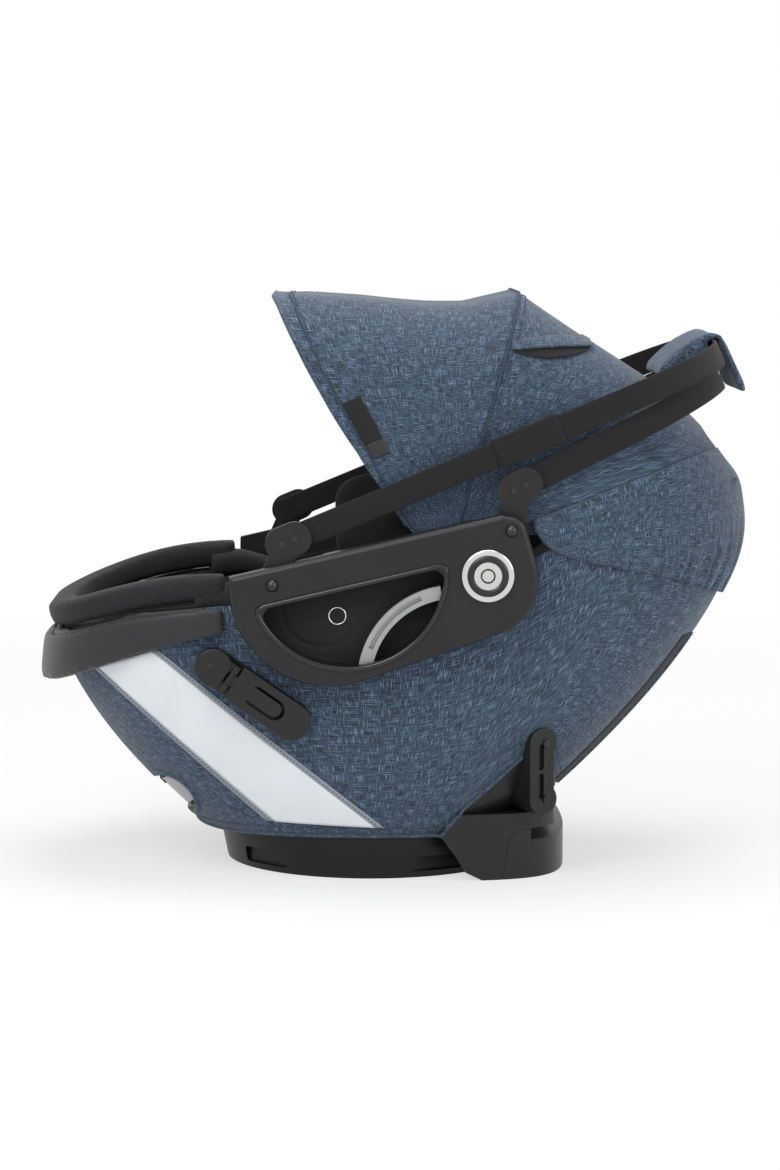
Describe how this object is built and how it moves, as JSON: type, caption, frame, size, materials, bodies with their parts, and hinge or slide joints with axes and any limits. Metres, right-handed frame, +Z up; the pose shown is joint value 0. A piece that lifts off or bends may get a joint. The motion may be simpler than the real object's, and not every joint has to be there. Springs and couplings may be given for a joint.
{
  "type": "infant car seat",
  "caption": "Rear-facing infant carrier seat with a fold-back canopy, a two-strap carry handle, side frames with grab openings, a harness and a round docking ring.",
  "frame": {"origin": "middle of the seat's length and width, on the floor it stands on", "axes": "+X to the head end, +Y to the child's right, +Z up"},
  "size_m": [0.6992, 0.4366, 0.562],
  "materials": {
    "blue_fabric": "blue melange weave",
    "black_fabric": "matt padded cloth",
    "foam": "moulded foam",
    "black_plastic": "fine grained",
    "grey_soft": "soft touch",
    "chrome": "polished",
    "silver": "satin silver",
    "steel": "dark steel",
    "webbing": "woven webbing",
    "red_plastic": "glossy",
    "red_wire": "coated wire"
  },
  "bodies": {
    "seat": {"seat_shell": "black_plastic", "shell_cover": "blue_fabric", "foam_liner": "foam", "seat_pad": "black_fabric", "foot_bumper": "grey_soft", "rim_roll": "black_fabric", "head_support": "black_fabric", "base_ring": "black_plastic", "heel_cap": "black_plastic", "heel_left": "black_plastic", "heel_right": "black_plastic", "belt_hook_left": "black_plastic", "belt_hook_right": "black_plastic", "side_frame_left": "black_plastic", "side_frame_right": "black_plastic", "belt_guide_left": "silver", "belt_guide_right": "silver", "hub_cap_left": "chrome", "hub_cap_right": "chrome", "handle_pins": "steel", "canopy_skirt": "blue_fabric", "canopy_top": "blue_fabric", "canopy_pins": "steel", "lever_housing": "black_plastic", "lever_pin": "steel", "clip_base_left": "black_plastic", "clip_base_right": "black_plastic", "clip_pins": "steel", "body_screws": "steel", "harness_left": "webbing", "harness_right": "webbing", "shoulder_pad_left": "black_fabric", "shoulder_pad_right": "black_fabric", "crotch_strap": "webbing", "buckle_body": "black_plastic", "buckle_tongues": "steel", "chest_clip": "black_plastic", "adjuster_housing": "black_plastic", "adjuster_strap": "webbing"},
    "canopy_mid": {"canopy_bow_mid": "black_plastic"},
    "canopy_front": {"canopy_bow_front": "black_plastic", "canopy_visor": "blue_fabric"},
    "handle_front": {"front_arm_left": "black_plastic", "front_arm_right": "black_plastic", "front_arm_screws": "steel", "front_strap": "webbing", "strap_keepers": "webbing", "grip_wrap": "blue_fabric", "grip_hook": "red_wire"},
    "handle_rear": {"rear_arm_left": "black_plastic", "rear_arm_right": "black_plastic", "rear_arm_screws": "steel", "rear_strap": "webbing"},
    "lever": {"release_lever": "silver"},
    "front_latch": {"latch_front": "black_plastic"},
    "rear_latch": {"latch_rear": "black_plastic"},
    "buckle_push": {"buckle_button": "red_plastic"},
    "adjuster_push": {"adjuster_button": "black_plastic"},
    "clip_left": {"clip_arm_left": "black_plastic"},
    "clip_right": {"clip_arm_right": "black_plastic"}
  },
  "joints": [
    {"name": "canopy_fold", "type": "hinge", "parent": "seat", "child": "canopy_mid", "pos_m": [0.054, 0, 0.318], "axis": [0, 1, 0], "range_deg": [0, 38], "deforming": ["canopy_top"]},
    {"name": "canopy_visor_fold", "type": "hinge", "parent": "canopy_mid", "child": "canopy_front", "pos_m": [0.054, 0, 0.318], "axis": [0, 1, 0], "range_deg": [0, 38], "deforming": ["canopy_visor"]},
    {"name": "handle_raise", "type": "hinge", "parent": "seat", "child": "handle_front", "pos_m": [-0.114, 0, 0.292], "axis": [0, -1, 0], "range_deg": [0, 65]},
    {"name": "rear_handle_raise", "type": "hinge", "parent": "seat", "child": "handle_rear", "pos_m": [0.11, 0, 0.343], "axis": [0, -1, 0], "range_deg": [0, 51.5]},
    {"name": "lever_pull", "type": "hinge", "parent": "seat", "child": "lever", "pos_m": [-0.22391, 0, 0.08163], "axis": [0, 1, 0], "range_deg": [0, 9], "stiffness_Nm_per_rad": 0.8},
    {"name": "front_latch_slide", "type": "slide", "parent": "seat", "child": "front_latch", "axis": [-1, 0, 0], "range_m": [0, 0.008]},
    {"name": "rear_latch_slide", "type": "slide", "parent": "seat", "child": "rear_latch", "axis": [1, 0, 0], "range_m": [0, 0.008]},
    {"name": "buckle_press", "type": "slide", "parent": "seat", "child": "buckle_push", "axis": [0, 0, -1], "range_m": [0, 0.0038], "stiffness_N_per_m": 800},
    {"name": "adjuster_press", "type": "slide", "parent": "seat", "child": "adjuster_push", "axis": [0, 0, -1], "range_m": [0, 0.0035], "stiffness_N_per_m": 700},
    {"name": "clip_left_open", "type": "hinge", "parent": "seat", "child": "clip_left", "pos_m": [-0.15446, -0.18925, 0.20107], "axis": [-0.575, 0, -0.8181], "range_deg": [0, 95]},
    {"name": "clip_right_open", "type": "hinge", "parent": "seat", "child": "clip_right", "pos_m": [-0.15446, 0.18925, 0.20107], "axis": [0.575, 0, 0.8181], "range_deg": [0, 95]}
  ],
  "couplings": [
    {"joint": "canopy_visor_fold", "follows": "canopy_fold", "ratio": 1},
    {"joint": "rear_handle_raise", "follows": "handle_raise", "ratio": 0.79},
    {"joint": "front_latch_slide", "follows": "lever_pull", "m_per_rad": 0.04966},
    {"joint": "rear_latch_slide", "follows": "lever_pull", "m_per_rad": 0.04966}
  ]
}
